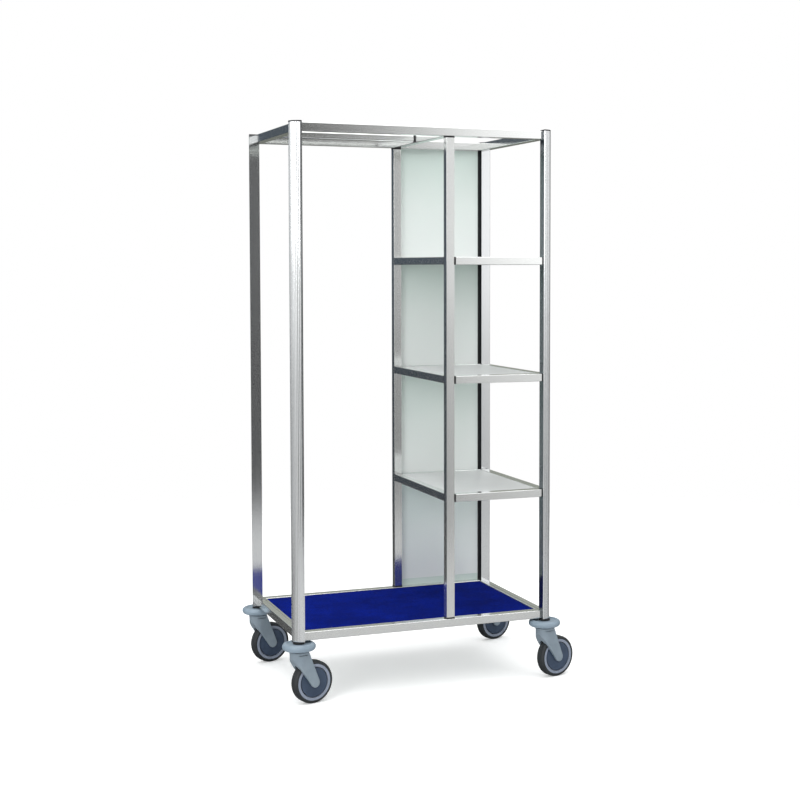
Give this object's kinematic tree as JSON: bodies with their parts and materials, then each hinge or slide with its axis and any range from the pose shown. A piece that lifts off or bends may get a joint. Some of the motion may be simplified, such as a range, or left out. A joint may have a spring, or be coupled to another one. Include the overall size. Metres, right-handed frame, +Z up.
{
  "type": "luggage cart",
  "caption": "Tall hotel luggage cart with an open hanging bay, side shelves, carpeted deck, frosted back panel and round bumpers over swivel castors.",
  "frame": {"origin": "on the floor, at the centre of the bounding box with all castors trailing towards +X", "axes": "+X along the cart towards the shelf bay, +Y from the front to the back panel, +Z up"},
  "size_m": [0.9258, 0.591, 1.67],
  "materials": {
    "aluminium_bright": "satin anodised, finely fluted lengthways",
    "aluminium_rail": "satin anodised",
    "laminate": "pale grey laminate on board",
    "deck_board": "grey laminate on both faces, under the carpet",
    "black_plastic": "moulded, matt",
    "blue_carpet": "short pile, royal blue",
    "frosted_panel": "frosted, faintly green at depth",
    "steel": "zinc plated",
    "castor_plastic": "moulded, blue-grey",
    "bumper_plastic": "moulded, blue-grey, slightly soft",
    "rim_plastic": "moulded, light blue-grey",
    "cover_plastic": "moulded, dark blue-grey",
    "tyre_rubber": "smooth dark grey rubber"
  },
  "bodies": {
    "frame": {"corner_post_front_left": "aluminium_bright", "corner_post_front_right": "aluminium_bright", "corner_post_rear_right": "aluminium_bright", "corner_post_rear_left": "aluminium_bright", "base_rail_front": "aluminium_rail", "base_rail_rear": "aluminium_rail", "base_rail_left": "aluminium_rail", "base_rail_right": "aluminium_rail", "top_rail_front": "aluminium_rail", "top_rail_rear": "aluminium_rail", "top_rail_left": "aluminium_rail", "top_rail_right": "aluminium_rail", "top_cross_member": "aluminium_rail", "hanging_rail": "aluminium_rail", "divider_post_front": "aluminium_rail", "divider_post_rear": "aluminium_rail", "lower_shelf_front_rail": "aluminium_rail", "lower_shelf_back_and_side_rails": "aluminium_rail", "lower_shelf_panel": "laminate", "middle_shelf_front_rail": "aluminium_rail", "middle_shelf_back_and_side_rails": "aluminium_rail", "middle_shelf_panel": "laminate", "upper_shelf_front_rail": "aluminium_rail", "upper_shelf_back_and_side_rails": "aluminium_rail", "upper_shelf_panel": "laminate", "post_caps": "black_plastic", "post_foot_plugs": "black_plastic", "divider_end_plates": "black_plastic", "hanging_rail_end_plates": "black_plastic", "shelf_end_plates": "black_plastic", "frame_rail_connectors": "black_plastic", "deck_board": "deck_board", "back_panel_seal": "black_plastic", "deck_carpet": "blue_carpet", "back_panel": "frosted_panel", "castor_stems": "steel"},
    "bumper_disc_front_left": {"bumper_front_left": "bumper_plastic"},
    "swivel_front_left": {"castor_fork_front_left": "castor_plastic", "castor_axle_front_left": "steel"},
    "wheel_front_left": {"castor_wheel_front_left": "rim_plastic", "wheel_covers_front_left": "cover_plastic", "castor_tyre_front_left": "tyre_rubber"},
    "bumper_disc_front_right": {"bumper_front_right": "bumper_plastic"},
    "swivel_front_right": {"castor_fork_front_right": "castor_plastic", "castor_axle_front_right": "steel"},
    "wheel_front_right": {"castor_wheel_front_right": "rim_plastic", "wheel_covers_front_right": "cover_plastic", "castor_tyre_front_right": "tyre_rubber"},
    "bumper_disc_rear_right": {"bumper_rear_right": "bumper_plastic"},
    "swivel_rear_right": {"castor_fork_rear_right": "castor_plastic", "castor_axle_rear_right": "steel"},
    "wheel_rear_right": {"castor_wheel_rear_right": "rim_plastic", "wheel_covers_rear_right": "cover_plastic", "castor_tyre_rear_right": "tyre_rubber"},
    "bumper_disc_rear_left": {"bumper_rear_left": "bumper_plastic"},
    "swivel_rear_left": {"castor_fork_rear_left": "castor_plastic", "castor_axle_rear_left": "steel"},
    "wheel_rear_left": {"castor_wheel_rear_left": "rim_plastic", "wheel_covers_rear_left": "cover_plastic", "castor_tyre_rear_left": "tyre_rubber"}
  },
  "joints": [
    {"name": "bumper_turn_front_left", "type": "hinge", "parent": "frame", "child": "bumper_disc_front_left", "pos_m": [-0.415, -0.247, 0.171], "axis": [0, 0, 1], "continuous": true},
    {"name": "castor_swivel_front_left", "type": "hinge", "parent": "frame", "child": "swivel_front_left", "pos_m": [-0.415, -0.247, 0.15], "axis": [0, 0, 1], "continuous": true},
    {"name": "wheel_roll_front_left", "type": "hinge", "parent": "swivel_front_left", "child": "wheel_front_left", "pos_m": [-0.37434, -0.23648, 0.0625], "axis": [-0.2504, 0.9681, 0], "continuous": true},
    {"name": "bumper_turn_front_right", "type": "hinge", "parent": "frame", "child": "bumper_disc_front_right", "pos_m": [0.359, -0.247, 0.171], "axis": [0, 0, 1], "continuous": true},
    {"name": "castor_swivel_front_right", "type": "hinge", "parent": "frame", "child": "swivel_front_right", "pos_m": [0.359, -0.247, 0.15], "axis": [0, 0, 1], "continuous": true},
    {"name": "wheel_roll_front_right", "type": "hinge", "parent": "swivel_front_right", "child": "wheel_front_right", "pos_m": [0.39966, -0.23648, 0.0625], "axis": [-0.2504, 0.9681, 0], "continuous": true},
    {"name": "bumper_turn_rear_right", "type": "hinge", "parent": "frame", "child": "bumper_disc_rear_right", "pos_m": [0.359, 0.247, 0.171], "axis": [0, 0, 1], "continuous": true},
    {"name": "castor_swivel_rear_right", "type": "hinge", "parent": "frame", "child": "swivel_rear_right", "pos_m": [0.359, 0.247, 0.15], "axis": [0, 0, 1], "continuous": true},
    {"name": "wheel_roll_rear_right", "type": "hinge", "parent": "swivel_rear_right", "child": "wheel_rear_right", "pos_m": [0.39966, 0.25752, 0.0625], "axis": [-0.2504, 0.9681, 0], "continuous": true},
    {"name": "bumper_turn_rear_left", "type": "hinge", "parent": "frame", "child": "bumper_disc_rear_left", "pos_m": [-0.415, 0.247, 0.171], "axis": [0, 0, 1], "continuous": true},
    {"name": "castor_swivel_rear_left", "type": "hinge", "parent": "frame", "child": "swivel_rear_left", "pos_m": [-0.415, 0.247, 0.15], "axis": [0, 0, 1], "continuous": true},
    {"name": "wheel_roll_rear_left", "type": "hinge", "parent": "swivel_rear_left", "child": "wheel_rear_left", "pos_m": [-0.37434, 0.25752, 0.0625], "axis": [-0.2504, 0.9681, 0], "continuous": true}
  ]
}
